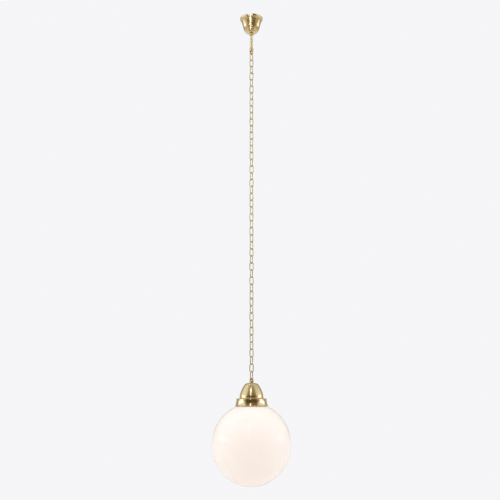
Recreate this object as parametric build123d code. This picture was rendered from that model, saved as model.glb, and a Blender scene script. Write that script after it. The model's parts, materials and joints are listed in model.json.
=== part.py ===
from build123d import *
import os
from math import acos, cos, degrees, hypot, pi, radians, sin

# A globe pendant: a fluted canopy on a short tube, a long chain, and a brass fitter
# that holds an opal glass globe. The origin is on the ceiling, above the middle of the
# lamp, and the lamp hangs towards -Z. The front looks towards -Y. All in millimetres.

# Fits
TURNED_FIT = 0.05
THREAD_FIT = 0.08
SHEET_GAP = 0.05
THREAD_RADIUS = 5.0

# Ceiling plate and hook
PLATE_RADIUS = 26.0
PLATE_THICKNESS = 2.0
FIXING_SPACING = 40.0
FIXING_HOLE_RADIUS = 2.25
HOOK_WIRE = 4.0
HOOK_BOWL_RADIUS = 7.0
HOOK_BOWL_CENTRE = -16.0
HOOK_TIP_LENGTH = 4.0
HOOK_NUT_ACROSS = 8.0
HOOK_NUT_HEIGHT = 3.0

# Terminal block and earth terminal, on the plate
BLOCK_WIDTH = 22.0
BLOCK_DEPTH = 12.0
BLOCK_HEIGHT = 11.0
BLOCK_CENTRE_Y = 17.5
BLOCK_POLES = 2
BLOCK_POLE_SPACING = 10.0
SLEEVE_RADIUS = 2.0
WIRE_HOLE_RADIUS = 1.4
CLAMP_SCREW_RADIUS = 1.2
SLEEVE_INSET = 1.0
CLAMP_SCREW_LENGTH = 3.4
CLAMP_SCREW_REACH = 1.0
EARTH_X = 10.0
EARTH_Y = -14.0
EARTH_LUG_THICKNESS = 0.8
EARTH_LUG_RADIUS = 4.0
EARTH_TONGUE_LENGTH = 7.0
EARTH_TONGUE_WIDTH = 2.4

# Stem: suspension eye, threaded tube and upper eye
BOSS_RADIUS = 6.5
BOSS_THREAD_DEPTH = 5.6
CORD_HOLE_RADIUS = 2.2
TUBE_BORE_RADIUS = 3.8
SUSPENSION_WIRE = 3.5
SUSPENSION_WIDTH = 10.0
SUSPENSION_LENGTH = 12.0
SUSPENSION_BOSS_BOTTOM = -40.0
UPPER_BOSS_TOP = -107.4
UPPER_EYE_CENTRE = -122.4
SET_SCREW_RADIUS = 1.25
DRILL_OVERRUN = 1.0

# Eyes that hold the chain, as wire sizes along the wire's middle
EYE_WIRE = 4.4
EYE_WIDTH = 9.2
EYE_LENGTH = 12.6
EYE_CORNER = 4.5

# Canopy, a pressed sheet bell with flutes
CANOPY_SHEET = 0.8
CANOPY_BOTTOM = -55.6
CANOPY_OUTLINE = [
    (37.0, -2.0),
    (36.6, -7.5),
    (33.4, -12.0),
    (31.2, -18.5),
    (28.2, -29.0),
    (25.2, -40.0),
    (21.4, -48.0),
    (15.6, -53.8),
    (9.5, CANOPY_BOTTOM),
]
CANOPY_HOLE_RADIUS = 6.1
FLUTE_COUNT = 3
FLUTE_FIRST_ANGLE = -99.0
FLUTE_TOP = (38.5, -2.0)
FLUTE_END = (22.0, -52.0)
FLUTE_TOP_RADIUS = 8.5
FLUTE_END_RADIUS = 4.0
FLUTE_OVERRUN = 12.0
BUSH_HEAD_RADIUS = 7.6
BUSH_HEAD_HEIGHT = 5.5
BUSH_SLEEVE_RADIUS = 6.0
BUSH_SLEEVE_HEIGHT = 5.2
RING_NUT_ACROSS = 14.6
RING_NUT_HEIGHT = 3.2
GRUB_RADIUS = 1.5
GRUB_LENGTH = 4.0

# Chain: long links, each hanging in the one above and turned a quarter
LINK_WIRE = 3.0
LINK_WIDTH = 12.0
LINK_LENGTH = 25.5
LINK_CORNER = 5.5
LINK_GAP = 0.05
LINK_PITCH = LINK_LENGTH - LINK_WIRE - LINK_GAP
LINK_COUNT = 47
FIRST_SEGMENT_LINKS = 3
SEGMENT_LINKS = 4
SEGMENT_COUNT = 1 + (LINK_COUNT - FIRST_SEGMENT_LINKS) // SEGMENT_LINKS
CHAIN_YAW = 48.0
CHAIN_TWIST = 11.0
TWIST_PERIOD = 14.0

# Fitter: dome cap, gallery and what clamps them
LOWER_EYE_LENGTH = 12.0
LOWER_BOSS_HEIGHT = 6.5
LOWER_BOSS_ROOF = 1.5
DOME_SHEET = 0.8
DOME_HEIGHT = 46.3
DOME_OUTLINE = [
    (11.0, 0.0),
    (19.0, -2.7),
    (25.2, -10.8),
    (31.6, -23.5),
    (35.5, -36.0),
    (36.5, -43.5),
]
DOME_BEAD_RADIUS = 1.2
GALLERY_SHEET = 1.0
GALLERY_CORNER = 2.0
GALLERY_TOP_RADIUS = 46.0
GALLERY_MIDDLE_RADIUS = 46.9
GALLERY_FOOT_RADIUS = 49.0
GALLERY_WALL_HEIGHT = 20.0
GALLERY_BEAD_RADIUS = 1.4
WASHER_RADIUS = 9.0
WASHER_THICKNESS = 1.0
LOCK_NUT_ACROSS = 14.0
LOCK_NUT_HEIGHT = 3.0
NUT_SIDES = 6

# Thumbscrews that hold the globe's neck
SCREW_DEPTH = 61.0
SCREW_RADIUS = 1.5
SCREW_TIP_AT = 40.8
SCREW_SHOULDER_AT = 48.7
SCREW_HEAD_RADIUS = 2.9
SCREW_HEAD_LENGTH = 3.8
SCREW_ANGLES = [-90.0, 30.0, 150.0]
BOSS_INSERT_RADIUS = 3.2
BOSS_INSERT_INNER = 43.2

# Globe of blown opal glass, a little taller than it is wide
GLOBE_RADIUS = 120.0
GLOBE_HALF_HEIGHT = 123.5
GLOBE_CENTRE = -1376.5
GLASS = 3.0
NECK_RADIUS = 40.5
NECK_GAP = 2.6
NECK_BEAD = 1.4
NECK_BEAD_HEIGHT = 4.5

# Lampholder, an E27 holder on the nipple, as depths under the dome's top
HOLDER_TOP = 52.0
HOLDER_BOSS_RADIUS = 8.5
HOLDER_BOSS_DEPTH = 9.0
HOLDER_BOSS_FLARE = 1.0
HOLDER_RADIUS = 19.5
HOLDER_WALL = 1.8
HOLDER_SHOULDER = 64.0
HOLDER_JOINT = 74.0
HOLDER_MOUTH = 104.0
SPIGOT_RADIUS = 17.6
SPIGOT_WALL = 2.0
SPIGOT_TOP = 69.0
CORE_RADIUS = 15.5
CORE_TOP = 68.5
CORE_BOTTOM = 78.0
SHELL_RADIUS = 14.1
SHELL_SHEET = 0.5
SHELL_MOUTH = 101.0
CONTACT_WIDTH = 5.0
CONTACT_SHEET = 0.6
TERMINAL_X = 9.0
TERMINAL_HOLE_DEPTH = 6.0
TERMINAL_SCREW_LENGTH = 5.0
TERMINAL_HEAD_RADIUS = 2.8
TERMINAL_HEAD_HEIGHT = 2.0

# Bulb, an A60 shape with an E27 cap, as depths under the dome's top
BULB_TIP = 79.4
TIP_THICKNESS = 1.0
TIP_RADIUS = 4.0
INSULATOR_TOP_RADIUS = 5.0
INSULATOR_RADIUS = 12.2
INSULATOR_RIM = 2.0
BULB_CAP_TOP = 84.0
BULB_CAP_FOOT = 106.0
BULB_CAP_RADIUS = 13.2
BULB_CAP_SHEET = 0.5
BULB_OUTLINE = [
    (12.4, -100.0),
    (12.6, -106.5),
    (18.0, -122.0),
    (27.0, -139.0),
    (30.0, -153.0),
    (26.0, -169.0),
    (14.0, -180.5),
    (0.0, -184.0),
]
BULB_GLASS = 1.0


def at(radius, z):
    """A point of an outline that is turned about the lamp's axis."""
    return (radius, 0, z)


def turned(*edges):
    """The solid that a closed outline makes when it is turned about the lamp's axis."""
    return revolve(make_face(edges), Axis.Z)


def turned_polygon(points):
    """A turned solid whose outline has straight sides."""
    return turned(Polyline(*[at(*point) for point in points], close=True))


def ring(outer, inner, top, height):
    """A disc with a round hole, from top downwards."""
    solid = Pos(0, 0, top - height / 2) * Cylinder(outer, height)
    if inner:
        solid -= Pos(0, 0, top - height / 2) * Cylinder(inner, height)
    return solid


def inset(points, thickness):
    """The same outline, moved towards the axis side by a sheet's thickness."""
    moved = []
    for index, (radius, z) in enumerate(points):
        before = points[max(index - 1, 0)]
        after = points[min(index + 1, len(points) - 1)]
        along = (after[0] - before[0], after[1] - before[1])
        length = hypot(*along)
        side = 1 if along[0] < 0 else -1
        moved.append(
            (
                radius - thickness * abs(along[1]) / length,
                z + side * thickness * abs(along[0]) / length,
            )
        )
    return moved


def turned_sheet(points, thickness):
    """A spun or pressed shell: a smooth outline with a constant thickness."""
    inner = inset(points, thickness)
    return turned(
        Spline(*[at(*point) for point in points]),
        Line(at(*points[-1]), at(*inner[-1])),
        Spline(*[at(*point) for point in reversed(inner)]),
        Line(at(*inner[0]), at(*points[0])),
    )


def nut(across, bore, top, height):
    """A hexagon nut, from top downwards."""
    flat = RegularPolygon(across / 2, NUT_SIDES, major_radius=False)
    solid = extrude(flat, height)
    return Pos(0, 0, top - height) * solid - ring(bore, 0, top, height)


def radial_rod(radius, inner, outer, angle, z):
    """A round rod that points away from the axis."""
    rod = Pos((inner + outer) / 2, 0, 0) * Rot(0, 90, 0) * Cylinder(radius, outer - inner)
    return Pos(0, 0, z) * Rot(0, 0, angle) * rod


def wire_loop(width, length, corner, wire):
    """A closed loop of round wire that stands in the XZ plane, sized along its middle."""
    corner_x = width / 2 - corner
    corner_y = length / 2 - corner
    loop = None
    for turn, x, y in (
        (0, corner_x, corner_y),
        (90, -corner_x, corner_y),
        (180, -corner_x, -corner_y),
        (270, corner_x, -corner_y),
    ):
        bend = Pos(x, y, 0) * Rot(0, 0, turn) * Torus(corner, wire / 2, major_angle=90, align=None)
        loop = bend if loop is None else loop + bend
    for side in (-1, 1):
        upright = Rot(90, 0, 0) * Cylinder(wire / 2, 2 * corner_y)
        end = Rot(0, 90, 0) * Cylinder(wire / 2, 2 * corner_x)
        loop += Pos(side * width / 2, 0, 0) * upright
        loop += Pos(0, side * length / 2, 0) * end
    return Rot(90, 0, 0) * loop


def link_yaw(index):
    """The direction that a link's plane faces, in degrees about the vertical."""
    twist = CHAIN_TWIST * sin(2 * pi * index / TWIST_PERIOD)
    return CHAIN_YAW + 90 * (index % 2) + twist


def link_centre(index):
    """The height of a link's middle."""
    eye_wire = UPPER_EYE_CENTRE - EYE_LENGTH / 2
    top_wire = eye_wire + (EYE_WIRE + LINK_WIRE) / 2 + LINK_GAP
    return top_wire - LINK_LENGTH / 2 - index * LINK_PITCH


def lower_eye_top_wire():
    """The height of the lower eye's upper wire, which rests on the last link."""
    last_wire = link_centre(LINK_COUNT - 1) - LINK_LENGTH / 2
    return last_wire + (EYE_WIRE + LINK_WIRE) / 2 + LINK_GAP


def dome_top():
    """The height of the dome cap's flat top, which the lower eye presses on."""
    return lower_eye_top_wire() - LOWER_EYE_LENGTH - EYE_WIRE / 2


def segment_links(segment):
    """The numbers of the links in a rigid run of chain, counted from the top."""
    if segment == 0:
        return range(FIRST_SEGMENT_LINKS)
    first = FIRST_SEGMENT_LINKS + (segment - 1) * SEGMENT_LINKS
    return range(first, first + SEGMENT_LINKS)


def ceiling_plate():
    plate = ring(PLATE_RADIUS, HOOK_WIRE / 2 + THREAD_FIT, 0, PLATE_THICKNESS)
    for side in (-1, 1):
        plate -= Pos(side * FIXING_SPACING / 2, 0, 0) * ring(
            FIXING_HOLE_RADIUS, 0, 0, PLATE_THICKNESS
        )
    plate -= Pos(0, BLOCK_CENTRE_Y, 0) * ring(CLAMP_SCREW_RADIUS, 0, 0, PLATE_THICKNESS)
    plate -= Pos(EARTH_X, EARTH_Y, 0) * ring(SCREW_RADIUS, 0, 0, PLATE_THICKNESS)
    return plate


def ceiling_hook():
    wire = HOOK_WIRE / 2
    top = HOOK_BOWL_CENTRE + HOOK_BOWL_RADIUS
    bowl = Torus(HOOK_BOWL_RADIUS, wire, major_angle=270, align=None)
    bowl = Rot(90, 0, 0) * Rot(0, 0, 180) * bowl
    hook = Pos(0, 0, HOOK_BOWL_CENTRE) * bowl
    hook += ring(wire, 0, 0, -top)
    tip = Pos(-HOOK_BOWL_RADIUS, 0, HOOK_BOWL_CENTRE) * ring(
        wire, 0, HOOK_TIP_LENGTH, HOOK_TIP_LENGTH
    )
    return hook + tip


def terminal_block():
    top = -PLATE_THICKNESS - SHEET_GAP
    middle = top - BLOCK_HEIGHT / 2
    block = Pos(0, BLOCK_CENTRE_Y, middle) * Box(BLOCK_WIDTH, BLOCK_DEPTH, BLOCK_HEIGHT)
    screw_hole_radius = CLAMP_SCREW_RADIUS + TURNED_FIT
    sleeve_hole = Rot(90, 0, 0) * Cylinder(SLEEVE_RADIUS + TURNED_FIT, BLOCK_DEPTH)
    screw_hole = Cylinder(screw_hole_radius, BLOCK_HEIGHT / 2)
    for x in pole_places():
        block -= Pos(x, BLOCK_CENTRE_Y, middle) * sleeve_hole
        for y in clamp_places():
            block -= Pos(x, y, middle - BLOCK_HEIGHT / 4) * screw_hole
    return block - Pos(0, BLOCK_CENTRE_Y, middle) * Cylinder(screw_hole_radius, BLOCK_HEIGHT)


def pole_places():
    """Where the terminal block's poles are, across its width."""
    return [BLOCK_POLE_SPACING * (pole - (BLOCK_POLES - 1) / 2) for pole in range(BLOCK_POLES)]


def clamp_places():
    """Where the clamp screws are, along each pole."""
    return [BLOCK_CENTRE_Y - BLOCK_DEPTH / 4, BLOCK_CENTRE_Y + BLOCK_DEPTH / 4]


def terminal_sleeves():
    middle = -PLATE_THICKNESS - SHEET_GAP - BLOCK_HEIGHT / 2
    length = BLOCK_DEPTH - 2 * SLEEVE_INSET
    sleeves = []
    for x in pole_places():
        sleeve = Rot(90, 0, 0) * (Cylinder(SLEEVE_RADIUS, length) - Cylinder(WIRE_HOLE_RADIUS, length))
        sleeve = Pos(x, BLOCK_CENTRE_Y, middle) * sleeve
        for y in clamp_places():
            sleeve -= Pos(x, y, middle - SLEEVE_RADIUS) * Cylinder(
                CLAMP_SCREW_RADIUS + TURNED_FIT, 2 * SLEEVE_RADIUS
            )
        sleeves.append(sleeve)
    return sleeves


def terminal_screws():
    middle = -PLATE_THICKNESS - SHEET_GAP - BLOCK_HEIGHT / 2
    top = middle - WIRE_HOLE_RADIUS + CLAMP_SCREW_REACH
    screws = []
    for x in pole_places():
        for y in clamp_places():
            screws.append(Pos(x, y, 0) * ring(CLAMP_SCREW_RADIUS, 0, top, CLAMP_SCREW_LENGTH))
    return screws


def block_fixing_screw():
    bottom = -PLATE_THICKNESS - SHEET_GAP - BLOCK_HEIGHT
    head_radius = 2.2
    head_height = 1.4
    shank = ring(CLAMP_SCREW_RADIUS - TURNED_FIT, 0, -TURNED_FIT, -bottom)
    head = ring(head_radius, 0, bottom - SHEET_GAP, head_height)
    return Pos(0, BLOCK_CENTRE_Y, 0) * (shank + head)


def earth_terminal():
    top = -PLATE_THICKNESS - SHEET_GAP
    lug = ring(EARTH_LUG_RADIUS, 0, top, EARTH_LUG_THICKNESS)
    tongue = Box(EARTH_TONGUE_LENGTH, EARTH_TONGUE_WIDTH, EARTH_LUG_THICKNESS)
    tongue_x = -EARTH_LUG_RADIUS - EARTH_TONGUE_LENGTH / 4
    lug += Pos(tongue_x, 0, top - EARTH_LUG_THICKNESS / 2) * tongue
    lug -= ring(SCREW_RADIUS + THREAD_FIT, 0, top, EARTH_LUG_THICKNESS)
    return Pos(EARTH_X, EARTH_Y, 0) * lug


def earth_screw():
    lug_bottom = -PLATE_THICKNESS - SHEET_GAP - EARTH_LUG_THICKNESS
    head_radius = 2.8
    head_height = 2.0
    shank = ring(SCREW_RADIUS - TURNED_FIT, 0, -TURNED_FIT, -lug_bottom)
    head = ring(head_radius, 0, lug_bottom - SHEET_GAP, head_height)
    return Pos(EARTH_X, EARTH_Y, 0) * (shank + head)


def suspension_eye():
    wire_top = HOOK_BOWL_CENTRE - HOOK_BOWL_RADIUS + (HOOK_WIRE + SUSPENSION_WIRE) / 2 + LINK_GAP
    centre = wire_top - SUSPENSION_LENGTH / 2
    loop = wire_loop(SUSPENSION_WIDTH, SUSPENSION_LENGTH, EYE_CORNER, SUSPENSION_WIRE)
    eye = Pos(0, 0, centre) * Rot(0, 0, 90) * loop
    boss_top = wire_top - SUSPENSION_LENGTH + SUSPENSION_WIRE / 2
    height = boss_top - SUSPENSION_BOSS_BOTTOM
    eye += ring(BOSS_RADIUS, 0, boss_top, height)
    eye -= ring(CORD_HOLE_RADIUS, 0, boss_top, height)
    eye -= ring(
        THREAD_RADIUS + TURNED_FIT, 0, SUSPENSION_BOSS_BOTTOM + BOSS_THREAD_DEPTH, BOSS_THREAD_DEPTH
    )
    return eye - radial_rod(SET_SCREW_RADIUS, 0, BOSS_RADIUS + DRILL_OVERRUN, 0, suspension_screw_height())


def suspension_screw_height():
    return SUSPENSION_BOSS_BOTTOM + BOSS_THREAD_DEPTH / 2


def upper_screw_height():
    return UPPER_BOSS_TOP - BOSS_THREAD_DEPTH / 2


def stem_tube():
    top = SUSPENSION_BOSS_BOTTOM + BOSS_THREAD_DEPTH - SHEET_GAP
    bottom = UPPER_BOSS_TOP - BOSS_THREAD_DEPTH + SHEET_GAP
    return ring(THREAD_RADIUS, TUBE_BORE_RADIUS, top, top - bottom)


def upper_eye():
    loop = wire_loop(EYE_WIDTH, EYE_LENGTH, EYE_CORNER, EYE_WIRE)
    yaw = link_yaw(0) + 90
    boss_bottom = UPPER_EYE_CENTRE + EYE_LENGTH / 2 - EYE_WIRE / 2
    height = UPPER_BOSS_TOP - boss_bottom
    eye = Pos(0, 0, UPPER_EYE_CENTRE) * Rot(0, 0, yaw) * loop
    eye += ring(BOSS_RADIUS, 0, UPPER_BOSS_TOP, height)
    eye -= ring(CORD_HOLE_RADIUS, 0, UPPER_BOSS_TOP, height)
    eye -= ring(THREAD_RADIUS + TURNED_FIT, 0, UPPER_BOSS_TOP, BOSS_THREAD_DEPTH)
    return eye - radial_rod(SET_SCREW_RADIUS, 0, BOSS_RADIUS + DRILL_OVERRUN, 90, upper_screw_height())


def stem_set_screws():
    radius = SET_SCREW_RADIUS - TURNED_FIT
    inner = THREAD_RADIUS + TURNED_FIT
    return [
        radial_rod(radius, inner, BOSS_RADIUS, 0, suspension_screw_height()),
        radial_rod(radius, inner, BOSS_RADIUS, 90, upper_screw_height()),
    ]


def flute_cutter(grow):
    """A long taper that presses one flute into the canopy's side, at angle 0."""
    run = (FLUTE_END[0] - FLUTE_TOP[0], FLUTE_END[1] - FLUTE_TOP[1])
    length = hypot(*run)
    direction = (run[0] / length, 0, run[1] / length)
    taper = (FLUTE_TOP_RADIUS - FLUTE_END_RADIUS) / length
    top_radius = FLUTE_TOP_RADIUS + taper * FLUTE_OVERRUN + grow
    whole = length + FLUTE_OVERRUN
    cone = Pos(0, 0, whole / 2 - FLUTE_OVERRUN) * Cone(top_radius, FLUTE_END_RADIUS + grow, whole)
    end = Pos(0, 0, length) * Sphere(FLUTE_END_RADIUS + grow)
    return Plane(origin=(FLUTE_TOP[0], 0, FLUTE_TOP[1]), z_dir=direction) * (cone + end)


def canopy_shell():
    bottom_ring = ring(
        CANOPY_OUTLINE[-1][0], CANOPY_HOLE_RADIUS, CANOPY_BOTTOM + CANOPY_SHEET, CANOPY_SHEET
    )
    shell = turned_sheet(CANOPY_OUTLINE, CANOPY_SHEET) + bottom_ring
    filled = turned(
        Spline(*[at(*point) for point in CANOPY_OUTLINE]),
        Polyline(
            at(*CANOPY_OUTLINE[-1]),
            at(0, CANOPY_BOTTOM),
            at(0, CANOPY_OUTLINE[0][1]),
            at(*CANOPY_OUTLINE[0]),
        ),
    )
    for number in range(FLUTE_COUNT):
        turn = Rot(0, 0, FLUTE_FIRST_ANGLE + 360 * number / FLUTE_COUNT)
        inside = turn * flute_cutter(CANOPY_SHEET)
        outside = turn * flute_cutter(0)
        shell = shell - inside + ((inside - outside) & filled)
    return shell


def canopy_bush():
    head_top = CANOPY_BOTTOM - SHEET_GAP
    bush = ring(BUSH_HEAD_RADIUS, 0, head_top, BUSH_HEAD_HEIGHT)
    bush += ring(BUSH_SLEEVE_RADIUS, 0, head_top + BUSH_SLEEVE_HEIGHT, BUSH_SLEEVE_HEIGHT)
    bush -= ring(
        THREAD_RADIUS + THREAD_FIT,
        0,
        head_top + BUSH_SLEEVE_HEIGHT,
        BUSH_SLEEVE_HEIGHT + BUSH_HEAD_HEIGHT,
    )
    drill_end = BUSH_HEAD_RADIUS + DRILL_OVERRUN
    return bush - radial_rod(GRUB_RADIUS + THREAD_FIT, 0, drill_end, 90, grub_height())


def grub_height():
    return CANOPY_BOTTOM - SHEET_GAP - BUSH_HEAD_HEIGHT / 2


def canopy_ring_nut():
    top = CANOPY_BOTTOM + CANOPY_SHEET + SHEET_GAP + RING_NUT_HEIGHT
    return nut(RING_NUT_ACROSS, BUSH_SLEEVE_RADIUS + TURNED_FIT, top, RING_NUT_HEIGHT)


def canopy_grub_screw():
    inner = THREAD_RADIUS + TURNED_FIT
    return radial_rod(GRUB_RADIUS, inner, inner + GRUB_LENGTH, 90, grub_height())


def chain_segment(segment):
    link = wire_loop(LINK_WIDTH, LINK_LENGTH, LINK_CORNER, LINK_WIRE)
    return [
        Pos(0, 0, link_centre(index)) * Rot(0, 0, link_yaw(index)) * link
        for index in segment_links(segment)
    ]


def lower_eye():
    top_wire = lower_eye_top_wire()
    loop = wire_loop(EYE_WIDTH, LOWER_EYE_LENGTH, EYE_CORNER, EYE_WIRE)
    yaw = link_yaw(LINK_COUNT - 1) + 90
    boss_top = dome_top() + LOWER_BOSS_HEIGHT
    eye = Pos(0, 0, top_wire - LOWER_EYE_LENGTH / 2) * Rot(0, 0, yaw) * loop
    eye += ring(BOSS_RADIUS, 0, boss_top, LOWER_BOSS_HEIGHT)
    eye -= ring(CORD_HOLE_RADIUS, 0, boss_top, LOWER_BOSS_HEIGHT)
    return eye - ring(THREAD_RADIUS + TURNED_FIT, 0, boss_top - LOWER_BOSS_ROOF, LOWER_BOSS_HEIGHT)


def fitter_nipple():
    top = dome_top() + LOWER_BOSS_HEIGHT - LOWER_BOSS_ROOF - SHEET_GAP
    bottom = dome_top() - HOLDER_TOP - HOLDER_BOSS_DEPTH + SHEET_GAP
    return ring(THREAD_RADIUS, TUBE_BORE_RADIUS, top, top - bottom)


def dome_cap():
    top = dome_top() - SHEET_GAP
    outline = [(radius, top + z) for radius, z in DOME_OUTLINE]
    dome = turned_sheet(outline, DOME_SHEET)
    dome += ring(DOME_OUTLINE[0][0], THREAD_RADIUS + THREAD_FIT, top, DOME_SHEET)
    foot = ring(
        DOME_OUTLINE[-1][0],
        DOME_OUTLINE[-1][0] - DOME_SHEET,
        outline[-1][1],
        outline[-1][1] - (top - DOME_HEIGHT),
    )
    bead = Pos(0, 0, top - DOME_HEIGHT + DOME_BEAD_RADIUS) * Torus(
        DOME_OUTLINE[-1][0] - DOME_SHEET / 2, DOME_BEAD_RADIUS
    )
    return dome + foot + bead


def gallery_top():
    return dome_top() - DOME_HEIGHT - 2 * SHEET_GAP


def gallery_wall():
    """Three points of the arc that the gallery's outer side follows, from the top."""
    start = gallery_top() - GALLERY_CORNER
    foot = gallery_top() - GALLERY_WALL_HEIGHT
    return [
        (GALLERY_TOP_RADIUS, start),
        (GALLERY_MIDDLE_RADIUS, (start + foot) / 2),
        (GALLERY_FOOT_RADIUS, foot),
    ]


def gallery_ring():
    top = gallery_top()
    corner_z = top - GALLERY_CORNER
    corner_r = GALLERY_TOP_RADIUS - GALLERY_CORNER
    inner = GALLERY_CORNER - GALLERY_SHEET
    shell = ring(corner_r, THREAD_RADIUS + THREAD_FIT, top, GALLERY_SHEET)
    reach = sin(radians(45))
    shell += turned(
        ThreePointArc(
            at(corner_r, top),
            at(corner_r + GALLERY_CORNER * reach, corner_z + GALLERY_CORNER * reach),
            at(GALLERY_TOP_RADIUS, corner_z),
        ),
        Line(at(GALLERY_TOP_RADIUS, corner_z), at(GALLERY_TOP_RADIUS - GALLERY_SHEET, corner_z)),
        ThreePointArc(
            at(GALLERY_TOP_RADIUS - GALLERY_SHEET, corner_z),
            at(corner_r + inner * reach, corner_z + inner * reach),
            at(corner_r, top - GALLERY_SHEET),
        ),
        Line(at(corner_r, top - GALLERY_SHEET), at(corner_r, top)),
    )
    foot = top - GALLERY_WALL_HEIGHT
    outer = gallery_wall()
    inner_wall = [(radius - GALLERY_SHEET, z) for radius, z in outer]
    shell += turned(
        ThreePointArc(*[at(*point) for point in outer]),
        Line(at(*outer[-1]), at(*inner_wall[-1])),
        ThreePointArc(*[at(*point) for point in reversed(inner_wall)]),
        Line(at(*inner_wall[0]), at(*outer[0])),
    )
    bead_z = foot - GALLERY_BEAD_RADIUS
    shell += Pos(0, 0, bead_z) * Torus(GALLERY_FOOT_RADIUS, GALLERY_BEAD_RADIUS)
    shell += ring(GALLERY_FOOT_RADIUS, GALLERY_FOOT_RADIUS - GALLERY_SHEET, foot, GALLERY_BEAD_RADIUS)
    for angle in SCREW_ANGLES:
        shell -= radial_rod(
            SCREW_RADIUS + 2 * THREAD_FIT, NECK_RADIUS, SCREW_SHOULDER_AT, angle, screw_height()
        )
    return shell


def screw_height():
    return dome_top() - SCREW_DEPTH


def fitter_washers():
    bore = THREAD_RADIUS + THREAD_FIT
    under = gallery_top() - GALLERY_SHEET - SHEET_GAP
    over = gallery_top() + SHEET_GAP + WASHER_THICKNESS
    return [ring(WASHER_RADIUS, bore, z, WASHER_THICKNESS) for z in (over, under)]


def fitter_lock_nuts():
    bore = THREAD_RADIUS + TURNED_FIT
    over = gallery_top() + WASHER_THICKNESS + LOCK_NUT_HEIGHT + 2 * SHEET_GAP
    under = gallery_top() - GALLERY_SHEET - WASHER_THICKNESS - 2 * SHEET_GAP
    return [nut(LOCK_NUT_ACROSS, bore, z, LOCK_NUT_HEIGHT) for z in (over, under)]


def gallery_inserts():
    foot = gallery_top() - GALLERY_WALL_HEIGHT
    inside = turned(
        ThreePointArc(*[at(radius - GALLERY_SHEET - SHEET_GAP, z) for radius, z in gallery_wall()]),
        Polyline(
            at(GALLERY_FOOT_RADIUS - GALLERY_SHEET - SHEET_GAP, foot),
            at(0, foot),
            at(0, gallery_top() - GALLERY_CORNER),
            at(GALLERY_TOP_RADIUS - GALLERY_SHEET - SHEET_GAP, gallery_top() - GALLERY_CORNER),
        ),
    )
    inserts = []
    for angle in SCREW_ANGLES:
        place = (BOSS_INSERT_INNER, SCREW_SHOULDER_AT, angle, screw_height())
        body = radial_rod(BOSS_INSERT_RADIUS, *place) & inside
        inserts.append(body - radial_rod(SCREW_RADIUS + THREAD_FIT, *place))
    return inserts


def thumbscrew(angle):
    z = screw_height()
    shank = radial_rod(SCREW_RADIUS, SCREW_TIP_AT, SCREW_SHOULDER_AT, angle, z)
    outer = SCREW_SHOULDER_AT + SCREW_HEAD_LENGTH
    return shank + radial_rod(SCREW_HEAD_RADIUS, SCREW_SHOULDER_AT, outer, angle, z)


def lampholder_cap():
    top = dome_top() - HOLDER_TOP
    bore = THREAD_RADIUS + TURNED_FIT
    shoulder = dome_top() - HOLDER_SHOULDER
    foot = dome_top() - HOLDER_JOINT
    boss_foot = top - HOLDER_BOSS_DEPTH
    inner = HOLDER_RADIUS - HOLDER_WALL
    cap = turned_polygon(
        [
            (bore, top),
            (HOLDER_BOSS_RADIUS, top),
            (HOLDER_BOSS_RADIUS + HOLDER_BOSS_FLARE, top - HOLDER_BOSS_DEPTH / 2),
            (HOLDER_RADIUS, shoulder),
            (HOLDER_RADIUS, foot),
            (inner, foot),
            (inner, shoulder - HOLDER_WALL / 2),
            (HOLDER_BOSS_RADIUS, boss_foot),
            (bore, boss_foot),
        ]
    )
    return cap - radial_rod(SET_SCREW_RADIUS, 0, HOLDER_RADIUS, 0, holder_screw_height())


def holder_screw_height():
    return dome_top() - HOLDER_TOP - HOLDER_BOSS_DEPTH / 4


def lampholder_set_screw():
    inner = THREAD_RADIUS + TURNED_FIT
    outer = HOLDER_BOSS_RADIUS + HOLDER_BOSS_FLARE
    return radial_rod(SET_SCREW_RADIUS - TURNED_FIT, inner, outer, 0, holder_screw_height())


def lampholder_skirt():
    joint = dome_top() - HOLDER_JOINT - SHEET_GAP
    mouth = dome_top() - HOLDER_MOUTH
    spigot_top = dome_top() - SPIGOT_TOP
    inner = SPIGOT_RADIUS - SPIGOT_WALL
    return turned_polygon(
        [
            (inner, spigot_top),
            (SPIGOT_RADIUS, spigot_top),
            (SPIGOT_RADIUS, joint),
            (HOLDER_RADIUS, joint),
            (HOLDER_RADIUS, mouth),
            (HOLDER_RADIUS - HOLDER_WALL, mouth),
            (inner, joint - HOLDER_WALL),
        ]
    )


def lampholder_core():
    top = dome_top() - CORE_TOP
    core = ring(CORE_RADIUS, 0, top, CORE_BOTTOM - CORE_TOP)
    hole = ring(SCREW_RADIUS + TURNED_FIT, 0, top, TERMINAL_HOLE_DEPTH)
    for side in (-1, 1):
        core -= Pos(side * TERMINAL_X, 0, 0) * hole
    return core - ring(SCREW_RADIUS, 0, top, CORE_BOTTOM - CORE_TOP)


def lampholder_screw_shell():
    top = dome_top() - CORE_BOTTOM - SHEET_GAP
    height = SHELL_MOUTH - CORE_BOTTOM
    shell = ring(SHELL_RADIUS, SHELL_RADIUS - SHELL_SHEET, top, height)
    return shell + ring(SHELL_RADIUS, CONTACT_WIDTH, top, SHELL_SHEET)


def lampholder_centre_contact():
    top = dome_top() - CORE_BOTTOM - SHEET_GAP
    drop = BULB_TIP - CORE_BOTTOM - 3 * SHEET_GAP
    strip = Pos(0, 0, top - CONTACT_SHEET / 2) * Box(CONTACT_WIDTH + 2, CONTACT_WIDTH, CONTACT_SHEET)
    return strip + ring(CONTACT_WIDTH / 2, 0, top, drop)


def lampholder_terminal_screws():
    head_foot = dome_top() - CORE_TOP + SHEET_GAP
    screw = ring(SCREW_RADIUS, 0, head_foot, TERMINAL_SCREW_LENGTH)
    screw += ring(TERMINAL_HEAD_RADIUS, 0, head_foot + TERMINAL_HEAD_HEIGHT, TERMINAL_HEAD_HEIGHT)
    return [Pos(side * TERMINAL_X, 0, 0) * screw for side in (-1, 1)]


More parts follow.
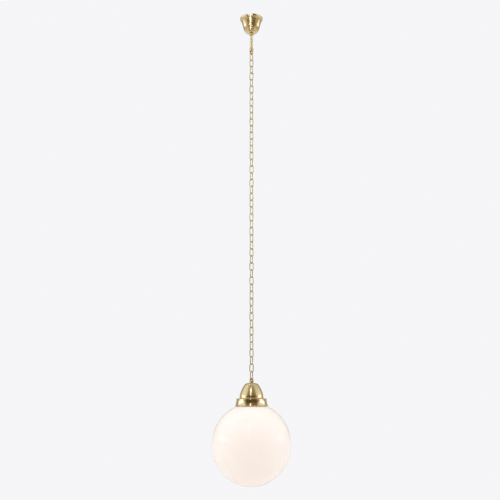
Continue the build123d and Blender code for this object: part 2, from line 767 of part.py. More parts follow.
def neck_top():
    return gallery_top() - GALLERY_SHEET - NECK_GAP


def globe_shell():
    inner_radius = NECK_RADIUS - GLASS
    outer_end = degrees(acos(NECK_RADIUS / GLOBE_RADIUS))
    inner_end = degrees(acos(inner_radius / (GLOBE_RADIUS - GLASS)))
    bottom = GLOBE_CENTRE - GLOBE_HALF_HEIGHT
    outer = side_arc(GLOBE_RADIUS, GLOBE_HALF_HEIGHT, outer_end)
    inner = side_arc(GLOBE_RADIUS - GLASS, GLOBE_HALF_HEIGHT - GLASS, inner_end)
    bead_foot = neck_top() - NECK_BEAD_HEIGHT
    return turned(
        outer,
        Line(at(0, bottom), at(0, bottom + GLASS)),
        inner,
        Line(inner @ 1, at(inner_radius, neck_top())),
        Line(at(inner_radius, neck_top()), at(NECK_RADIUS, neck_top())),
        ThreePointArc(
            at(NECK_RADIUS, neck_top()),
            at(NECK_RADIUS + NECK_BEAD, (neck_top() + bead_foot) / 2),
            at(NECK_RADIUS, bead_foot),
        ),
        Line(at(NECK_RADIUS, bead_foot), outer @ 1),
    )


def side_arc(radius, half_height, end):
    """The part of an upright ellipse from its lowest point up to an angle above its middle."""
    arc = EllipticalCenterArc((0, 0), radius, half_height, start_angle=-90, arc_size=end + 90)
    return Pos(0, 0, GLOBE_CENTRE) * Rot(90, 0, 0) * arc


def bulb_glass():
    outline = [(radius, dome_top() + z) for radius, z in BULB_OUTLINE]
    inner = inset(outline, BULB_GLASS)
    inner[-1] = (0, outline[-1][1] + BULB_GLASS)
    return turned(
        Spline(*[at(*point) for point in outline], tangents=[(0, 0, -1), (-1, 0, 0)]),
        Line(at(*outline[-1]), at(*inner[-1])),
        Spline(*[at(*point) for point in reversed(inner)], tangents=[(1, 0, 0), (0, 0, 1)]),
        Line(at(*inner[0]), at(*outline[0])),
    )


def bulb_cap():
    top = dome_top() - BULB_CAP_TOP
    height = BULB_CAP_FOOT - BULB_CAP_TOP
    return ring(BULB_CAP_RADIUS, BULB_CAP_RADIUS - BULB_CAP_SHEET, top, height)


def bulb_insulator():
    top = dome_top() - BULB_TIP - TIP_THICKNESS - SHEET_GAP
    foot = dome_top() - BULB_CAP_TOP
    return turned_polygon(
        [
            (0, top),
            (INSULATOR_TOP_RADIUS, top),
            (INSULATOR_RADIUS, foot),
            (INSULATOR_RADIUS, foot - INSULATOR_RIM),
            (0, foot - INSULATOR_RIM),
        ]
    )


def bulb_tip_contact():
    return ring(TIP_RADIUS, 0, dome_top() - BULB_TIP, TIP_THICKNESS)


def save(name, solids):
    """Write one sub-part. Identical pieces of one sub-part stay separate solids."""
    pieces = solids if isinstance(solids, list) else [solids]
    shape = pieces[0] if len(pieces) == 1 else Compound(children=pieces)
    export_step(shape, f"parts/{name}.step")


def subparts():
    """Every sub-part's name and solids."""
    parts = {
        "ceiling_plate": ceiling_plate(),
        "ceiling_hook": ceiling_hook(),
        "hook_lock_nut": nut(
            HOOK_NUT_ACROSS, HOOK_WIRE / 2 + TURNED_FIT, -PLATE_THICKNESS - SHEET_GAP, HOOK_NUT_HEIGHT
        ),
        "terminal_block": terminal_block(),
        "terminal_sleeves": terminal_sleeves(),
        "terminal_screws": terminal_screws(),
        "block_fixing_screw": block_fixing_screw(),
        "earth_terminal": earth_terminal(),
        "earth_screw": earth_screw(),
        "suspension_eye": suspension_eye(),
        "stem_tube": stem_tube(),
        "upper_eye": upper_eye(),
        "stem_set_screws": stem_set_screws(),
        "canopy_shell": canopy_shell(),
        "canopy_bush": canopy_bush(),
        "canopy_ring_nut": canopy_ring_nut(),
        "canopy_grub_screw": canopy_grub_screw(),
        "lower_eye": lower_eye(),
        "fitter_nipple": fitter_nipple(),
        "dome_cap": dome_cap(),
        "gallery_ring": gallery_ring(),
        "fitter_washers": fitter_washers(),
        "fitter_lock_nuts": fitter_lock_nuts(),
        "gallery_inserts": gallery_inserts(),
        "lampholder_cap": lampholder_cap(),
        "lampholder_set_screw": lampholder_set_screw(),
        "lampholder_skirt": lampholder_skirt(),
        "lampholder_core": lampholder_core(),
        "lampholder_screw_shell": lampholder_screw_shell(),
        "lampholder_centre_contact": lampholder_centre_contact(),
        "lampholder_terminal_screws": lampholder_terminal_screws(),
        "globe_shell": globe_shell(),
        "bulb_glass": bulb_glass(),
        "bulb_cap": bulb_cap(),
        "bulb_insulator": bulb_insulator(),
        "bulb_tip_contact": bulb_tip_contact(),
    }
    for number, angle in enumerate(SCREW_ANGLES, 1):
        parts[f"thumbscrew_{number}"] = thumbscrew(angle)
    for segment in range(SEGMENT_COUNT):
        parts[f"chain_segment_{segment + 1:02d}"] = chain_segment(segment)
    return parts


os.makedirs("parts", exist_ok=True)
for name, solids in subparts().items():
    save(name, solids)
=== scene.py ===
"""Pendant ceiling light with an opal globe: finer meshes, materials, light and camera round the CAD
model. Outlines are in millimetres. The lamp hangs on the Z axis, with z = 0 at the ceiling."""

import json
from math import acos, cos, degrees, hypot, pi, radians, sin, sqrt

import bmesh
import bpy
from mathutils import Matrix, Vector


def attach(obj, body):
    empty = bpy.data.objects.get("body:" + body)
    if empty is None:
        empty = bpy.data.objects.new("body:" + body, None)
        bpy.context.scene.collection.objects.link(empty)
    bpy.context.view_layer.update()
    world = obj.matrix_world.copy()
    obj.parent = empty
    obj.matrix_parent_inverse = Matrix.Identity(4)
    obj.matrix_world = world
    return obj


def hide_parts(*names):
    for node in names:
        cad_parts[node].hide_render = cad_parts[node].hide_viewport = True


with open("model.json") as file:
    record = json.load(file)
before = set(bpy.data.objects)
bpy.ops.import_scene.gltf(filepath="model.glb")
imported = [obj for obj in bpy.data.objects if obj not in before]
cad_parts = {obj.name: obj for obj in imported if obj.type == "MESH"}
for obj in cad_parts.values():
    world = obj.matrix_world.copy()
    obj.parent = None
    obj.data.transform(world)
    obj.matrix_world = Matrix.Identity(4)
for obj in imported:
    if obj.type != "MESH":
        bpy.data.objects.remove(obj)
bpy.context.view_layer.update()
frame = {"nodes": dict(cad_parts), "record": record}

MM = 0.001
SHARP_EDGE = 38  # degrees between two faces, above which their edge isn't smoothed
# Heights that the pieces share, in millimetres from the ceiling
CANOPY_BOTTOM = -55.6
DOME_TOP = -1193.65
GALLERY_TOP = -1240.0
SCREW_HEIGHT = -1254.6
GLOBE_CENTRE = -1376.5
NECK_TOP = -1243.6
CAP_TOP = -1277.6
CAP_FOOT = -1299.6
# Directions of the thumbscrews round the axis, in degrees
SCREW_ANGLES = (-90.0, 30.0, 150.0)


# ---------------------------------------------------------------- shapes


def spline(points, steps):
    """A smooth line through the points, as a centripetal Catmull-Rom curve. Each pair of points gets
    as many parts as steps says."""
    path = [Vector(p) for p in points]
    path = [2 * path[0] - path[1]] + path + [2 * path[-1] - path[-2]]
    out = []
    for i in range(1, len(path) - 2):
        p0, p1, p2, p3 = path[i - 1 : i + 3]
        t0 = 0.0
        t1 = t0 + (p1 - p0).length ** 0.5
        t2 = t1 + (p2 - p1).length ** 0.5
        t3 = t2 + (p3 - p2).length ** 0.5
        for step in range(steps):
            t = t1 + (t2 - t1) * step / steps
            a1 = p0 * ((t1 - t) / (t1 - t0)) + p1 * ((t - t0) / (t1 - t0))
            a2 = p1 * ((t2 - t) / (t2 - t1)) + p2 * ((t - t1) / (t2 - t1))
            a3 = p2 * ((t3 - t) / (t3 - t2)) + p3 * ((t - t2) / (t3 - t2))
            b1 = a1 * ((t2 - t) / (t2 - t0)) + a2 * ((t - t0) / (t2 - t0))
            b2 = a2 * ((t3 - t) / (t3 - t1)) + a3 * ((t - t1) / (t3 - t1))
            point = b1 * ((t2 - t) / (t2 - t1)) + b2 * ((t - t1) / (t2 - t1))
            out.append((point[0], point[1]))
    out.append(tuple(path[-2]))
    return out


def arc(centre, radius, start, end, steps):
    """Points of a circle's arc in the outline plane, angles in degrees from the outward direction."""
    points = []
    for step in range(steps + 1):
        angle = radians(start + (end - start) * step / steps)
        points.append((centre[0] + radius * cos(angle), centre[1] + radius * sin(angle)))
    return points


def offset(points, distance):
    """The outline moved sideways by a distance, to the left of its run."""
    out = []
    for i, (r, z) in enumerate(points):
        before = points[max(i - 1, 0)]
        after = points[min(i + 1, len(points) - 1)]
        dr, dz = after[0] - before[0], after[1] - before[1]
        length = hypot(dr, dz) or 1
        out.append((r - distance * dz / length, z + distance * dr / length))
    return out


def new_object(name, verts, faces, sharp=SHARP_EDGE):
    """A smooth-shaded object with its faces turned outwards. Sizes in metres."""
    mesh = bpy.data.meshes.new(name)
    mesh.from_pydata(verts, [], faces)
    bm = bmesh.new()
    bm.from_mesh(mesh)
    bmesh.ops.remove_doubles(bm, verts=bm.verts, dist=1e-7)
    bmesh.ops.recalc_face_normals(bm, faces=bm.faces)
    bm.to_mesh(mesh)
    bm.free()
    mesh.polygons.foreach_set("use_smooth", [True] * len(mesh.polygons))
    mesh.set_sharp_from_angle(angle=radians(sharp))
    piece = bpy.data.objects.new(name, mesh)
    bpy.context.scene.collection.objects.link(piece)
    return piece


def lathe(name, outline, segments=96, shape=None, sharp=SHARP_EDGE):
    """A closed outline of (radius, z) in millimetres turned about the lamp's axis.
    shape(index, angle, radius, z) may change a point's radius and height."""
    verts, rows = [], []
    for index, (radius, z) in enumerate(outline):
        if radius < 1e-6:
            rows.append([len(verts)] * segments)
            verts.append((0, 0, z * MM))
            continue
        row = []
        for k in range(segments):
            angle = 2 * pi * k / segments
            r, h = shape(index, angle, radius, z) if shape else (radius, z)
            row.append(len(verts))
            verts.append((r * cos(angle) * MM, r * sin(angle) * MM, h * MM))
        rows.append(row)
    faces = []
    for i in range(len(rows)):
        a, b = rows[i], rows[(i + 1) % len(rows)]
        for k in range(segments):
            n = (k + 1) % segments
            face = []
            for v in (a[k], a[n], b[n], b[k]):
                if v not in face:
                    face.append(v)
            if len(face) > 2:
                faces.append(face)
    return new_object(name, verts, faces, sharp)


def cut(piece, tools):
    """Takes the tools' space out of a piece."""
    for tool in tools:
        modifier = piece.modifiers.new("cut", "BOOLEAN")
        modifier.operation = "DIFFERENCE"
        modifier.solver = "EXACT"
        modifier.object = tool
        bpy.context.view_layer.update()
        evaluated = piece.evaluated_get(bpy.context.evaluated_depsgraph_get())
        mesh = bpy.data.meshes.new_from_object(evaluated)
        piece.modifiers.clear()
        piece.data = mesh
        bpy.data.objects.remove(tool)
    piece.data.polygons.foreach_set("use_smooth", [True] * len(piece.data.polygons))
    piece.data.set_sharp_from_angle(angle=radians(SHARP_EDGE))
    return piece


def place(piece, matrix):
    """Moves a piece's mesh, and leaves its origin where it is."""
    piece.data.transform(matrix)
    return piece


def radial(angle, z):
    """From a shape that stands on +Z at the origin, to one that points away from the lamp's axis."""
    return (
        Matrix.Translation((0, 0, z * MM))
        @ Matrix.Rotation(radians(angle), 4, "Z")
        @ Matrix.Rotation(radians(90), 4, "Y")
    )


# ---------------------------------------------------------------- materials


def material(name, colour, rough, metal=0.0, **more):
    """A shader whose colour and roughness wander a little, with a fine relief. Sizes in metres."""
    mat = bpy.data.materials.new(name)
    mat.use_nodes = True
    nodes, links = mat.node_tree.nodes, mat.node_tree.links
    shader = nodes["Principled BSDF"]
    shader.inputs["Metallic"].default_value = metal
    for socket, value in more.get("sockets", {}).items():
        shader.inputs[socket].default_value = value
    coordinates = nodes.new("ShaderNodeTexCoord")
    stretch = nodes.new("ShaderNodeMapping")
    stretch.inputs["Scale"].default_value = more.get("stretch", (1, 1, 1))
    links.new(coordinates.outputs["Object"], stretch.inputs["Vector"])
    cloud = nodes.new("ShaderNodeTexNoise")
    cloud.inputs["Scale"].default_value = more.get("cloud", 45)
    cloud.inputs["Detail"].default_value = 5
    links.new(coordinates.outputs["Object"], cloud.inputs["Vector"])
    tint = nodes.new("ShaderNodeValToRGB")
    tint.color_ramp.elements[0].position = 0.35
    tint.color_ramp.elements[1].position = 0.65
    tint.color_ramp.elements[0].color = (*more.get("dark", colour), 1)
    tint.color_ramp.elements[1].color = (*colour, 1)
    links.new(cloud.outputs["Fac"], tint.inputs["Fac"])
    links.new(tint.outputs["Color"], shader.inputs["Base Color"])
    fine = nodes.new("ShaderNodeTexNoise")
    fine.inputs["Scale"].default_value = more.get("fine", 900)
    fine.inputs["Detail"].default_value = 3
    links.new(stretch.outputs["Vector"], fine.inputs["Vector"])
    span = nodes.new("ShaderNodeMapRange")
    span.inputs["To Min"].default_value = rough[0]
    span.inputs["To Max"].default_value = rough[1]
    links.new(fine.outputs["Fac"], span.inputs["Value"])
    links.new(span.outputs["Result"], shader.inputs["Roughness"])
    bump = nodes.new("ShaderNodeBump")
    bump.inputs["Strength"].default_value = more.get("bump", 0.1)
    bump.inputs["Distance"].default_value = more.get("depth", 0.00003)
    links.new(fine.outputs["Fac"], bump.inputs["Height"])
    links.new(bump.outputs["Normal"], shader.inputs["Normal"])
    return mat


TURNED = (1, 1, 9)  # stretches the relief into fine rings round the lamp's axis
MATERIALS = {
    "polished_brass": material(
        "polished brass", (0.77, 0.635, 0.40), (0.17, 0.25), 1.0,
        dark=(0.72, 0.58, 0.34), cloud=30, fine=1400, stretch=TURNED, bump=0.06,
        sockets={"Coat Weight": 0.5, "Coat Roughness": 0.12},
    ),
    "collar_brass": material(
        "bright polished brass", (0.77, 0.635, 0.40), (0.08, 0.13), 1.0,
        dark=(0.72, 0.58, 0.34), cloud=30, fine=1400, stretch=TURNED, bump=0.04,
        sockets={"Coat Weight": 0.5, "Coat Roughness": 0.08},
    ),
    "chain_brass": material(
        "chain brass", (0.76, 0.66, 0.39), (0.26, 0.38), 1.0,
        dark=(0.65, 0.56, 0.31), cloud=60, fine=1600, bump=0.15,
    ),
    # The tube's brass is given a paler colour than the other brass as painted light that brightens
    # the tube; only its higher roughness is a real satin finish
    "stem_brass_painted_lighter": material(
        "satin brass painted lighter", (0.90, 0.83, 0.61), (0.42, 0.52), 1.0,
        dark=(0.84, 0.76, 0.53), cloud=60, fine=1600, stretch=TURNED, bump=0.12,
    ),
    "raw_brass": material(
        "raw brass", (0.72, 0.56, 0.30), (0.28, 0.42), 1.0,
        dark=(0.62, 0.46, 0.22), cloud=150, fine=1500, stretch=TURNED, bump=0.25,
    ),
    "zinc_steel": material(
        "zinc plated steel", (0.66, 0.67, 0.70), (0.25, 0.42), 1.0,
        dark=(0.56, 0.58, 0.60), cloud=160, fine=1300, bump=0.2,
    ),
    "opal_glass": material(
        "opal glass", (0.95, 0.86, 0.79), (0.12, 0.18), 0.0,
        dark=(0.94, 0.845, 0.775), cloud=6, fine=40, bump=0.04, depth=0.0004,
        sockets={"IOR": 1.36, "Subsurface Weight": 0.3, "Subsurface Scale": 0.01,
                 "Subsurface Radius": (1.0, 1.0, 1.0)},
    ),
    "bulb_glass": material(
        "coated bulb glass", (0.93, 0.925, 0.90), (0.14, 0.2), 0.0,
        dark=(0.90, 0.895, 0.87), cloud=40, fine=60, bump=0.03,
        sockets={"IOR": 1.5, "Subsurface Weight": 0.25, "Subsurface Scale": 0.01},
    ),
    "bulb_cap_metal": material(
        "bulb cap metal", (0.78, 0.78, 0.79), (0.2, 0.36), 1.0,
        dark=(0.68, 0.68, 0.69), cloud=200, fine=1500, stretch=TURNED, bump=0.2,
    ),
    "insulator_black": material(
        "black vitrite", (0.02, 0.02, 0.022), (0.12, 0.3), 0.0,
        dark=(0.012, 0.012, 0.014), cloud=200, fine=700, bump=0.2,
    ),
    "holder_white": material(
        "moulded white plastic", (0.86, 0.85, 0.82), (0.24, 0.34), 0.0,
        dark=(0.83, 0.82, 0.78), cloud=80, fine=2200, bump=0.18,
    ),
    "porcelain": material(
        "glazed porcelain", (0.88, 0.87, 0.83), (0.1, 0.2), 0.0,
        dark=(0.84, 0.82, 0.77), cloud=120, fine=300, bump=0.15,
        sockets={"Coat Weight": 0.5},
    ),
}
SLOT_OF = {part["node"]: part["material_slot"] for part in frame["record"]["subparts"]}
for node, thing in frame["nodes"].items():
    thing.data.materials.clear()
    thing.data.materials.append(MATERIALS["stem_brass_painted_lighter" if node == "stem_tube" else SLOT_OF[node]])


def finish_piece(piece, body, node, look=None):
    """Gives a new piece the material of its node's slot, or the look's material if a look is given,
    puts it in its body, and hides the node it stands for.
    """
    slot = SLOT_OF[node]
    piece.data.materials.clear()
    piece.data.materials.append(MATERIALS[look or slot])
    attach(piece, body)
    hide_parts(node)


# ---------------------------------------------------------------- canopy

CANOPY_SHEET = 0.8
FLUTE_ANGLES = (-99.0, 21.0, 141.0)
FLUTE_POWER = 3.2  # 2 is a round groove, more is flatter
FLUTE_TOP, FLUTE_END = -2.0, -52.0
TOP_DISTANCE, END_DISTANCE = 38.5, 22.0  # of a flute's middle line from the lamp's axis
TOP_REACH, END_REACH = 8.5, 4.0  # half a flute's width
FLUTE_EDGE = 1.6  # width over which a flute's edge is rounded
FLUTE_SPAN = 60  # degrees to each side, past which a flute changes nothing
canopy_line = spline(
    [(37.0, -2.4), (36.7, -7.5), (33.4, -12.0), (31.2, -18.5), (28.2, -29.0),
     (25.2, -40.0), (21.4, -48.0), (15.6, -53.8), (9.5, CANOPY_BOTTOM)],
    7,
)
canopy_inner = offset(canopy_line, -CANOPY_SHEET)
canopy_rim = arc((36.6, -2.4), 0.4, 180, 0, 6)[1:-1]
canopy_outline = (
    canopy_line
    + [(6.3, CANOPY_BOTTOM), (6.1, CANOPY_BOTTOM + 0.2), (6.1, CANOPY_BOTTOM + CANOPY_SHEET)]
    + list(reversed(canopy_inner))
    + canopy_rim
)
outer_count = len(canopy_line) + 2


def soft_min(a, b, width):
    """The smaller of two numbers, with the corner between them rounded."""
    h = max(width - abs(a - b), 0) / width
    return min(a, b) - h * h * width / 4


def flute(index, angle, radius, z):
    """Presses the three flutes into the canopy, and into its inner face one sheet wider."""
    outside = index < outer_count or index >= len(canopy_outline) - len(canopy_rim)
    grow = 0.0 if outside else CANOPY_SHEET
    along = min(max((FLUTE_TOP - z) / (FLUTE_TOP - FLUTE_END), -0.2), 1)
    centre = TOP_DISTANCE + (END_DISTANCE - TOP_DISTANCE) * along
    reach = TOP_REACH + (END_REACH - TOP_REACH) * along
    if z < FLUTE_END:
        reach = sqrt(max(END_REACH**2 - (z - FLUTE_END) ** 2, 0))
    for flute_angle in FLUTE_ANGLES:
        turn = (degrees(angle) - flute_angle + 180) % 360 - 180
        sideways = abs(centre * sin(radians(turn)))
        if abs(turn) < FLUTE_SPAN and sideways < reach * 1.25:
            wide = reach + grow
            inside = wide**FLUTE_POWER - sideways**FLUTE_POWER
            depth = inside ** (1 / FLUTE_POWER) if inside > 0 else -3 * (sideways - wide)
            radius = soft_min(radius, centre * cos(radians(turn)) - depth, FLUTE_EDGE)
    return radius, z


canopy = lathe("canopy_bell", canopy_outline, 288, flute, 50)
finish_piece(canopy, "canopy", "canopy_shell")

bush = lathe(
    "canopy_collet",
    [(5.1, -50.5), (5.9, -50.5), (6.0, -50.7), (6.0, -55.65), (7.2, -55.65), (7.6, -56.0),
     (7.6, -57.2), (7.25, -57.5), (7.25, -59.2), (7.6, -59.5), (7.6, -60.6), (7.2, -61.15),
     (5.35, -61.15), (5.1, -60.9)],
    96,
)
hole = place(lathe("tool", [(0, 4.0), (1.58, 4.0), (1.58, 9.0), (0, 9.0)], 32), radial(90, -58.4))
finish_piece(cut(bush, [hole]), "canopy", "canopy_bush")

# ---------------------------------------------------------------- chain

WIRE_RADIUS = 1.5
WIRE_SIDES = 16
LINK_CORNER = 5.5  # radius of the middle line's bends
CORNER_POINTS = 10
HALF_WIDTH, HALF_LENGTH = 6.0, 12.75  # of a link's middle line
FIRST_LINK = -137.7  # height of the first link's middle
LINK_PITCH = 22.45
CHAIN_RUNS = 12
# Where the ends of a link's wire meet: the height on its side, and the wire's radius there
BUTT_JOINT = ((-0.55, WIRE_RADIUS), (-0.2, 1.47), (-0.06, 1.34),
              (0.06, 1.34), (0.2, 1.47), (0.55, WIRE_RADIUS))


def link_path():
    """The middle line of one link in the XZ plane: (x, z, outward direction, wire radius)."""
    path = []
    x, z = HALF_WIDTH - LINK_CORNER, HALF_LENGTH - LINK_CORNER
    for start, corner_x, corner_z in ((0, x, z), (90, -x, z), (180, -x, -z), (270, x, -z)):
        for step in range(CORNER_POINTS):
            angle = radians(start + 90 * step / (CORNER_POINTS - 1))
            out = (cos(angle), sin(angle))
            x_here, z_here = corner_x + LINK_CORNER * out[0], corner_z + LINK_CORNER * out[1]
            path.append((x_here, z_here, out, WIRE_RADIUS))
    return path + [(HALF_WIDTH, height, (1, 0), radius) for height, radius in BUTT_JOINT]


def add_link(verts, faces, matrix):
    """Adds one link's wire to a mesh."""
    base = len(verts)
    path = link_path()
    for x, z, out, radius in path:
        for k in range(WIRE_SIDES):
            a = 2 * pi * k / WIRE_SIDES
            point = (x + radius * cos(a) * out[0], radius * sin(a), z + radius * cos(a) * out[1])
            verts.append(tuple(matrix @ Vector([c * MM for c in point])))
    for i in range(len(path)):
        here = base + i * WIRE_SIDES
        there = base + (i + 1) % len(path) * WIRE_SIDES
        for k in range(WIRE_SIDES):
            m = (k + 1) % WIRE_SIDES
            faces.append((here + k, here + m, there + m, there + k))


def link_turn(index):
    """A link's turn about the chain in degrees: each is across the last, and they wander a little."""
    return 48.0 + 90 * (index % 2) + 11.0 * sin(2 * pi * index / 14.0)


first = 0
for run in range(CHAIN_RUNS):
    verts, faces = [], []
    count = 3 if run == 0 else 4
    for index in range(first, first + count):
        middle = Matrix.Translation((0, 0, (FIRST_LINK - LINK_PITCH * index) * MM))
        flip = 180 if index % 3 == 1 else 0  # puts the butt joints on both sides of the chain
        turn = Matrix.Rotation(radians(link_turn(index) + flip), 4, "Z")
        add_link(verts, faces, middle @ turn)
    first += count
    chain = new_object(f"chain_run_{run + 1:02d}", verts, faces, 60)
    finish_piece(chain, f"chain_{run + 1:02d}", f"chain_segment_{run + 1:02d}")

# ---------------------------------------------------------------- fitter

BRASS_SHEET = 0.8
GALLERY_SHEET = 1.0
NIPPLE_HOLE = 5.08
dome_line = spline(
    [(11.0, 0.0), (19.0, -2.7), (25.2, -10.8), (31.6, -23.5), (35.5, -36.0), (36.4, -43.5)], 10
)
dome_line = [(6.2, 0.0), (9.0, 0.0)] + dome_line
dome_line = [(r, DOME_TOP + z) for r, z in dome_line]
dome_foot = DOME_TOP - 46.3
dome_outline = (
    dome_line
    + [(36.4, dome_foot + 2.35)]
    + arc((36.1, dome_foot + 1.2), 1.2, 70, -250, 18)
    + list(reversed(offset(dome_line[3:], -BRASS_SHEET)))
    + [(10.5, DOME_TOP - BRASS_SHEET), (NIPPLE_HOLE, DOME_TOP - BRASS_SHEET), (NIPPLE_HOLE, DOME_TOP)]
)
finish_piece(lathe("dome_bell", dome_outline, 160), "fitter", "dome_cap")

gallery_foot = GALLERY_TOP - 20.0
gallery_corner = (44.0, GALLERY_TOP - 2.0)
gallery_wall = spline(
    [(46.0, GALLERY_TOP - 2.0), (46.35, GALLERY_TOP - 7.0), (46.95, GALLERY_TOP - 12.0),
     (47.9, GALLERY_TOP - 17.0), (48.75, gallery_foot)],
    4,
)
gallery_outline = (
    [(NIPPLE_HOLE, GALLERY_TOP - GALLERY_SHEET), (NIPPLE_HOLE, GALLERY_TOP), (20.0, GALLERY_TOP),
     (36.0, GALLERY_TOP)]
    + arc(gallery_corner, 2.0, 90, 0, 8)[:-1]
    + gallery_wall
    + arc((49.0, gallery_foot - 1.4), 1.4, 78, -255, 20)
    + [(r - GALLERY_SHEET, z) for r, z in reversed(gallery_wall)]
    + arc(gallery_corner, 2.0 - GALLERY_SHEET, 0, 90, 5)[1:]
    + [(36.0, GALLERY_TOP - GALLERY_SHEET)]
)
hole_outline = [(0, 40.0), (1.66, 40.0), (1.66, 52.0), (0, 52.0)]
holes = [
    place(lathe("tool", hole_outline, 32), radial(angle, SCREW_HEIGHT)) for angle in SCREW_ANGLES
]
gallery = cut(lathe("gallery_collar", gallery_outline, 192), holes)
finish_piece(gallery, "fitter", "gallery_ring", look="collar_brass")

KNURL_TEETH = 24
KNURL_DEPTH = 0.28


def knurl(index, angle, radius, z):
    """Teeth round the head of a thumbscrew."""
    if radius > 2.6 and 49.3 < z < 51.9:
        radius -= KNURL_DEPTH / 2 * (1 + cos(KNURL_TEETH * angle))
    return radius, z


for number, angle in enumerate(SCREW_ANGLES, 1):
    head = lathe(
        f"thumbscrew_head_{number}",
        [(0, 40.8), (1.0, 40.8), (1.5, 41.3), (1.5, 48.7), (2.3, 48.7), (2.6, 49.0),
         (2.9, 49.35), (2.9, 50.6), (2.9, 51.85), (2.6, 52.2), (2.0, 52.45), (1.2, 52.5), (0, 52.5)],
        144, knurl,
    )
    place(head, radial(angle, SCREW_HEIGHT))
    finish_piece(head, f"screw_{number}", f"thumbscrew_{number}")

# ---------------------------------------------------------------- globe

GLOBE_RADIUS, GLOBE_HALF_HEIGHT = 120.0, 123.5
NECK_RADIUS = 40.5
GLASS = 3.0


def globe_arc(radius, half_height, end, steps):
    """The globe's side, from its lowest point up to an angle above its middle."""
    points = []
    for step in range(steps + 1):
        angle = radians(-90 + (end + 90) * step / steps)
        points.append((radius * cos(angle), GLOBE_CENTRE + half_height * sin(angle)))
    return points


inner_radius, neck_bore = GLOBE_RADIUS - GLASS, NECK_RADIUS - GLASS
outer_end = degrees(acos(NECK_RADIUS / GLOBE_RADIUS))
inner_end = degrees(acos(neck_bore / inner_radius))
outer_face = globe_arc(GLOBE_RADIUS, GLOBE_HALF_HEIGHT, outer_end, 72)
inner_face = globe_arc(inner_radius, GLOBE_HALF_HEIGHT - GLASS, inner_end, 60)
neck = [
    (NECK_RADIUS, NECK_TOP - 6.5), (40.6, NECK_TOP - 4.5), (41.4, NECK_TOP - 3.6),
    (41.85, NECK_TOP - 2.2), (41.5, NECK_TOP - 0.8), (40.4, NECK_TOP), (38.4, NECK_TOP),
    (neck_bore, NECK_TOP - 0.8),
]
globe_outline = (
    [(0.0, outer_face[0][1])]
    + outer_face[1:]
    + neck
    + list(reversed(inner_face[1:]))
    + [(0.0, inner_face[0][1])]
)
finish_piece(lathe("opal_globe", globe_outline, 192, None, 60), "globe", "globe_shell")

# ---------------------------------------------------------------- bulb

CAP_RADIUS, CAP_BORE = 13.2, 12.72
CAP_ROWS = 88
THREAD_PITCH = 3.63
THREAD_DEPTH = 0.34


def rolled_thread(index, angle, radius, z):
    """Rolls a right-hand round thread into the outside of the bulb's cap."""
    if radius < CAP_RADIUS - 0.1:
        return radius, z
    fade = min(max(min(CAP_TOP - 1.5 - z, z - CAP_FOOT - 3.5) / 1.2, 0), 1)
    turn = 2 * pi * z / THREAD_PITCH - angle
    return radius - fade * THREAD_DEPTH * (1 - cos(turn)) / 2, z


side_top = CAP_TOP - 0.3
cap_side = [
    (CAP_RADIUS, side_top - (side_top - CAP_FOOT) * row / CAP_ROWS) for row in range(CAP_ROWS + 1)
]
cap_outline = (
    [(CAP_BORE, CAP_TOP), (12.95, CAP_TOP), (13.12, CAP_TOP - 0.1)]
    + cap_side
    + [(CAP_BORE, CAP_FOOT)]
)
finish_piece(lathe("threaded_bulb_cap", cap_outline, 96, rolled_thread), "bulb", "bulb_cap")

# ---------------------------------------------------------------- camera, light and stage

CAMERA_TILT = 10.065  # degrees above level

camera = bpy.data.objects.new("camera", bpy.data.cameras.new("camera"))
bpy.context.scene.collection.objects.link(camera)
camera.location = (-0.0047, -2.476, -1.2206)
camera.rotation_euler = (radians(90 + CAMERA_TILT), 0, 0)
camera.data.sensor_width = 36
camera.data.lens = 57.6
bpy.context.scene.camera = camera
bpy.context.scene.view_settings.view_transform = "Standard"
bpy.context.scene.view_settings.look = "None"


def area_light(name, location, target, size, energy):
    """A strip light that points at a target. Sizes in metres."""
    data = bpy.data.lights.new(name, "AREA")
    data.shape = "RECTANGLE"
    data.size, data.size_y = size
    data.energy = energy
    lamp = bpy.data.objects.new(name, data)
    lamp.location = location
    lamp.rotation_euler = (Vector(target) - Vector(location)).to_track_quat("-Z", "Y").to_euler()
    lamp.visible_camera = False
    bpy.context.scene.collection.objects.link(lamp)


area_light("dome strip", (-0.42, -2.6, 1.25), (-0.2, 0, 1.25), (0.16, 3.1), 9)
area_light("overhead strip", (-0.25, 0.0, 2.6), (0, 0, -0.9), (0.2, 5.0), 11)
area_light("canopy strip", (-0.17, -1.0, -0.1), (0, 0, -0.1), (0.12, 0.4), 0.8)

PALE = (0.917, 0.917, 0.934, 1)
world = bpy.data.worlds.new("studio")
bpy.context.scene.world = world
world.use_nodes = True
nodes, links = world.node_tree.nodes, world.node_tree.links
nodes.clear()
where = nodes.new("ShaderNodeTexCoord")
split = nodes.new("ShaderNodeSeparateXYZ")
links.new(where.outputs["Generated"], split.inputs["Vector"])


def maths(operation, *values):
    """A math node on numbers or other nodes' outputs."""
    node = nodes.new("ShaderNodeMath")
    node.operation = operation
    for socket, value in zip(node.inputs, values):
        if isinstance(value, (int, float)):
            socket.default_value = value
        else:
            links.new(value, socket)
    return node.outputs[0]


def ramp(value, stops):
    """A colour ramp with (position, colour) stops."""
    node = nodes.new("ShaderNodeValToRGB")
    node.color_ramp.interpolation = "EASE"
    elements = node.color_ramp.elements
    while len(elements) < len(stops):
        elements.new(0.5)
    for element, (position, colour) in zip(elements, stops):
        element.position = position
        element.color = (*colour, 1)
    links.new(value, node.inputs["Fac"])
    return node.outputs["Color"]


def mix(factor, a, b):
    """Colour a where the factor is 0, and b where it is 1."""
    node = nodes.new("ShaderNodeMix")
    node.data_type = "RGBA"
    colours = [socket for socket in node.inputs if socket.type == "RGBA"]
    for socket, value in ((node.inputs["Factor"], factor), (colours[0], a), (colours[1], b)):
        if isinstance(value, (tuple, float)):
            socket.default_value = value
        else:
            links.new(value, socket)
    return [socket for socket in node.outputs if socket.type == "RGBA"][0]


